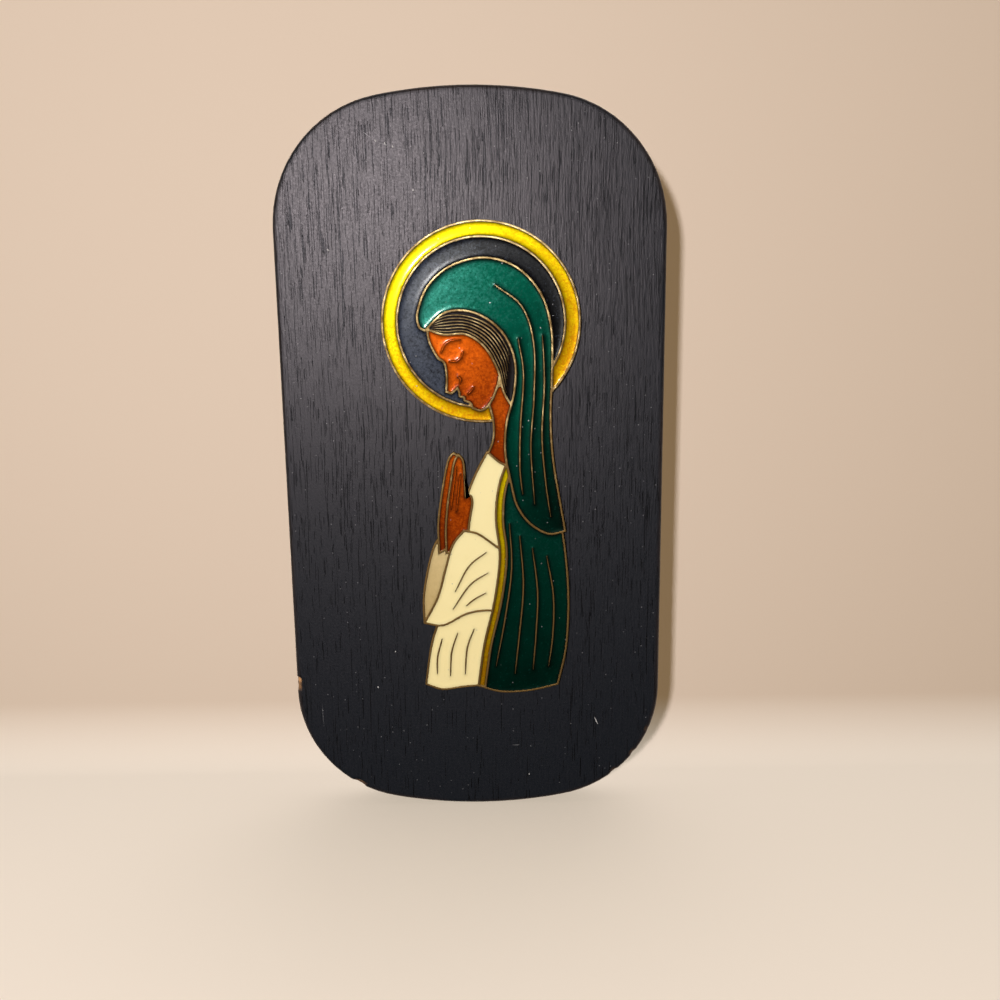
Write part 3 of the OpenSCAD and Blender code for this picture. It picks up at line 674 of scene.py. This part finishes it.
def makeFilling(nodeName, finish, start, end):
    piece = copyNode(nodeName, nodeName.replace("_enamel", "_filling"))
    mesh = piece.data
    outline = outlineOf(mesh)
    pickFaces(piece, isFront)
    band = enamelForm["hairBand" if finish == "hair_enamel" else "rimBand"]  # locks lie close
    bpy.ops.mesh.inset(thickness=band, use_even_offset=True)
    bpy.ops.object.mode_set(mode="OBJECT")
    cutGrid(piece, enamelForm["grid"])
    frontY = min(v.co.y for v in mesh.vertices)
    rim = mesh.attributes.new("rim", "FLOAT", "POINT")
    for vertex in mesh.vertices:
        if vertex.co.y > frontY + sameLevel:
            continue
        away = outline.find(vertex.co)[2]
        hollow = 1 - math.exp(-away / enamelForm["reach"])
        ripple = noise.noise(vertex.co * enamelForm["rippleScale"]) * hollow * enamelForm["ripple"]
        vertex.co.y += enamelForm["dip"] * hollow - enamelForm["climb"] + ripple
        # the rim value drives the painted shade beside the brass, and the loss of gloss there
        rim.data[vertex.index].value = math.exp(-away / enamelForm["rimFade"])
    material = makeEnamelMaterial(nodeName, finish, start, end)
    finishPiece(piece, material, "plaque", [nodeName], enamelForm["smooth"])


for nodeName, (finish, start, end) in fillings.items():
    makeFilling(nodeName, finish, start, end)


# Ridges of the face and fingers, glazed over with the same enamel as the skin

def makeRidges(nodeName, pieceName, skinNode):
    piece = copyNode(nodeName, pieceName, wholeFaces=False)
    pickEdges(piece, onTop)
    bpy.ops.mesh.bevel(offset=brass["foldRound"], segments=2, affect="EDGES", clamp_overlap=True,
                       loop_slide=False)
    bpy.ops.object.mode_set(mode="OBJECT")
    finish, start, end = fillings[skinNode]
    material = makeEnamelMaterial(nodeName, finish, start, end)
    finishPiece(piece, material, "plaque", [nodeName], brass["lineSmooth"])


makeRidges("face_lines", "face_ridges", "face_enamel")
makeRidges("finger_lines", "finger_ridges", "near_hand_enamel")


# Hanger on the back

hanger = {"bright": screen(214, 180, 108), "dull": screen(112, 84, 48), "age": 0.05, "rough": 0.22,
          "strapRound": 0.16 * mm, "pinRound": 0.35 * mm, "relief": 0.02 * mm,
          "sharp": math.radians(35), "smooth": 40}


def makeHangerMaterial():
    material, tree, shader, place = newMaterial("hanger_brass", Metallic=1.0)
    look = useGroup(tree, brassPatina, {"Vector": place, "Bright": hanger["bright"], "Dull": hanger["dull"],
                                        "Age": hanger["age"]})
    tree.links.new(look["Color"], shader.inputs["Base Color"])
    tree.links.new(maths(tree, "ADD", look["Roughness"], hanger["rough"]), shader.inputs["Roughness"])
    setBump(tree, shader, look["Height"], hanger["relief"])
    return material


def makeHangerPiece(nodeName, pieceName, roundness):
    piece = copyNode(nodeName, pieceName)
    pickEdges(piece, lambda a, b, faces: faces[0].normal.angle(faces[-1].normal) > hanger["sharp"])
    bpy.ops.mesh.bevel(offset=roundness, segments=3, affect="EDGES", clamp_overlap=True, loop_slide=False)
    bpy.ops.object.mode_set(mode="OBJECT")
    finishPiece(piece, hangerBrass, "plaque", [nodeName], hanger["smooth"])


def dressNode(nodeName, material):
    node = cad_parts[nodeName]
    node.data.materials.clear()
    node.data.materials.append(material)
    print(nodeName, "dressed")


hangerBrass = makeHangerMaterial()
makeHangerPiece("hanger_strap", "folded_strap", hanger["strapRound"])
makeHangerPiece("hanger_pins", "strap_pins", hanger["pinRound"])
dressNode("hanger_ring", hangerBrass)
dressNode("plate_studs", struckBrass)


# Stage, light and camera

stage = {"pale": screen(198, 182, 170), "rough": 0.9, "backdrop": screen(226, 208, 188),
         "ownLight": (0.2, 0.126, 0.058, 1.0), "floorLight": (0.34, 0.3, 0.236, 1.0),
         "wallGap": 22 * mm, "cove": 15 * mm, "coveSteps": 16, "reach": 3.0, "floorFront": -0.2}
light = {
    "key": {"place": (-0.088, -0.456, 0.105), "size": 0.025, "power": 2.2},
    "rear": {"place": (0.2, 0.9, 0.7), "size": 1.2, "power": 3.5},
    "fill": 0.6,
}
flag = {"place": (0.0, -0.6, 0.0), "size": 8.0,  # black card behind the camera, for deep reflections
        "colour": screen(20, 20, 20), "rough": 0.9}
view = {"place": (5.9 * mm, -242.6 * mm, 39.1 * mm), "turn": (78.66, 0.70, -0.17), "lens": 36.0,
        "sensor": 36.0, "nearest": 0.01}


def makeStage():
    material = bpy.data.materials.new("pale_wall")
    material.use_nodes = True
    tree = material.node_tree
    shader = tree.nodes["Principled BSDF"]
    shader.inputs["Base Color"].default_value = stage["pale"]
    shader.inputs["Roughness"].default_value = stage["rough"]
    shader.inputs["Specular IOR Level"].default_value = 0.0
    shader.inputs["Emission Strength"].default_value = 1.0
    path = addNode(tree, "ShaderNodeLightPath").outputs
    side = addNode(tree, "ShaderNodeNewGeometry").outputs
    upward = addNode(tree, "ShaderNodeSeparateXYZ", {0: side["Normal"]}).outputs["Z"]
    glow = mixColour(tree, upward, stage["ownLight"], stage["floorLight"])
    tree.links.new(glow, shader.inputs["Emission Color"])
    seen = maths(tree, "MULTIPLY", path["Is Camera Ray"], maths(tree, "SUBTRACT", 1.0, side["Backfacing"]))
    clear = addNode(tree, "ShaderNodeBsdfTransparent").outputs[0]
    mixed = addNode(tree, "ShaderNodeMixShader", {0: seen, 1: clear, 2: shader.outputs[0]}).outputs[0]
    tree.links.new(mixed, tree.nodes["Material Output"].inputs["Surface"])

    bpy.ops.object.select_all(action="DESELECT")
    middle = (0, stage["wallGap"] - stage["reach"], boardLow.z)
    bpy.ops.mesh.primitive_plane_add(size=2 * stage["reach"], location=middle)
    floor = bpy.context.object
    floor.name = "pale_floor"
    bpy.ops.object.transform_apply(location=True)
    for vertex in floor.data.vertices:
        vertex.co.y = max(vertex.co.y, stage["floorFront"])
    pickEdges(floor, lambda a, b, faces: min(a.y, b.y) > 0)  # the wall rises from the far edge
    bpy.ops.mesh.extrude_region_move(TRANSFORM_OT_translate={"value": (0, 0, stage["reach"])})
    bpy.ops.object.mode_set(mode="OBJECT")
    pickEdges(floor, lambda a, b, faces: len(faces) == 2)
    bpy.ops.mesh.bevel(offset=stage["cove"], segments=stage["coveSteps"], affect="EDGES")
    bpy.ops.object.mode_set(mode="OBJECT")
    bpy.ops.object.shade_smooth()
    floor.data.materials.append(material)

    bpy.ops.object.select_all(action="DESELECT")
    behind = (0, stage["wallGap"] - stage["cove"] + stage["reach"], boardLow.z)  # seen from the back only
    bpy.ops.mesh.primitive_plane_add(size=2 * stage["reach"], location=behind)
    backFloor = bpy.context.object
    backFloor.name = "pale_back_floor"
    bpy.ops.object.transform_apply(location=True)
    backFloor.data.materials.append(material)


def makeFlag():
    material = bpy.data.materials.new("black_card")
    material.use_nodes = True
    tree = material.node_tree
    shader = tree.nodes["Principled BSDF"]
    shader.inputs["Base Color"].default_value = flag["colour"]
    shader.inputs["Roughness"].default_value = flag["rough"]
    seen = addNode(tree, "ShaderNodeLightPath").outputs["Is Camera Ray"]
    clear = addNode(tree, "ShaderNodeBsdfTransparent").outputs[0]
    mixed = addNode(tree, "ShaderNodeMixShader", {0: seen, 1: shader.outputs[0], 2: clear}).outputs[0]
    tree.links.new(mixed, tree.nodes["Material Output"].inputs["Surface"])
    bpy.ops.object.select_all(action="DESELECT")
    bpy.ops.mesh.primitive_plane_add(size=flag["size"], location=flag["place"], rotation=(math.pi / 2, 0, 0))
    card = bpy.context.object
    card.name = "black_card"
    bpy.ops.object.transform_apply(location=True, rotation=True, scale=True)
    card.data.materials.append(material)


def addLamp(name, place, size, power):
    lamp = bpy.data.lights.new(name, "AREA")
    lamp.size = size
    lamp.energy = power
    holder = bpy.data.objects.new(name, lamp)
    bpy.context.scene.collection.objects.link(holder)
    holder.location = place
    holder.rotation_euler = (-Vector(place)).to_track_quat("-Z", "Y").to_euler()
    holder.visible_camera = False


def makeWorld():
    world = bpy.data.worlds.new("studio")
    bpy.context.scene.world = world
    world.use_nodes = True
    tree = world.node_tree
    path = addNode(tree, "ShaderNodeLightPath").outputs
    seen = maths(tree, "MAXIMUM", path["Is Camera Ray"], path["Is Glossy Ray"])
    seen = maths(tree, "MAXIMUM", seen, path["Is Transmission Ray"])
    fill = addNode(tree, "ShaderNodeBackground", {"Color": (1, 1, 1, 1), "Strength": light["fill"]})
    pale = addNode(tree, "ShaderNodeBackground", {"Color": stage["backdrop"], "Strength": 1.0})
    mixed = addNode(tree, "ShaderNodeMixShader", {0: seen, 1: fill.outputs[0], 2: pale.outputs[0]})
    tree.links.new(mixed.outputs[0], tree.nodes["World Output"].inputs["Surface"])


def makeCamera():
    camera = bpy.data.objects.new("camera", bpy.data.cameras.new("camera"))
    bpy.context.scene.collection.objects.link(camera)
    camera.location = view["place"]
    camera.rotation_euler = [math.radians(angle) for angle in view["turn"]]
    camera.data.lens = view["lens"]
    camera.data.sensor_width = view["sensor"]
    camera.data.clip_start = view["nearest"]
    bpy.context.scene.camera = camera


makeStage()
makeFlag()
addLamp("key", **light["key"])
addLamp("rear", **light["rear"])
makeWorld()
makeCamera()
bpy.context.scene.view_settings.view_transform = "Standard"
print("stage, light and camera ready")
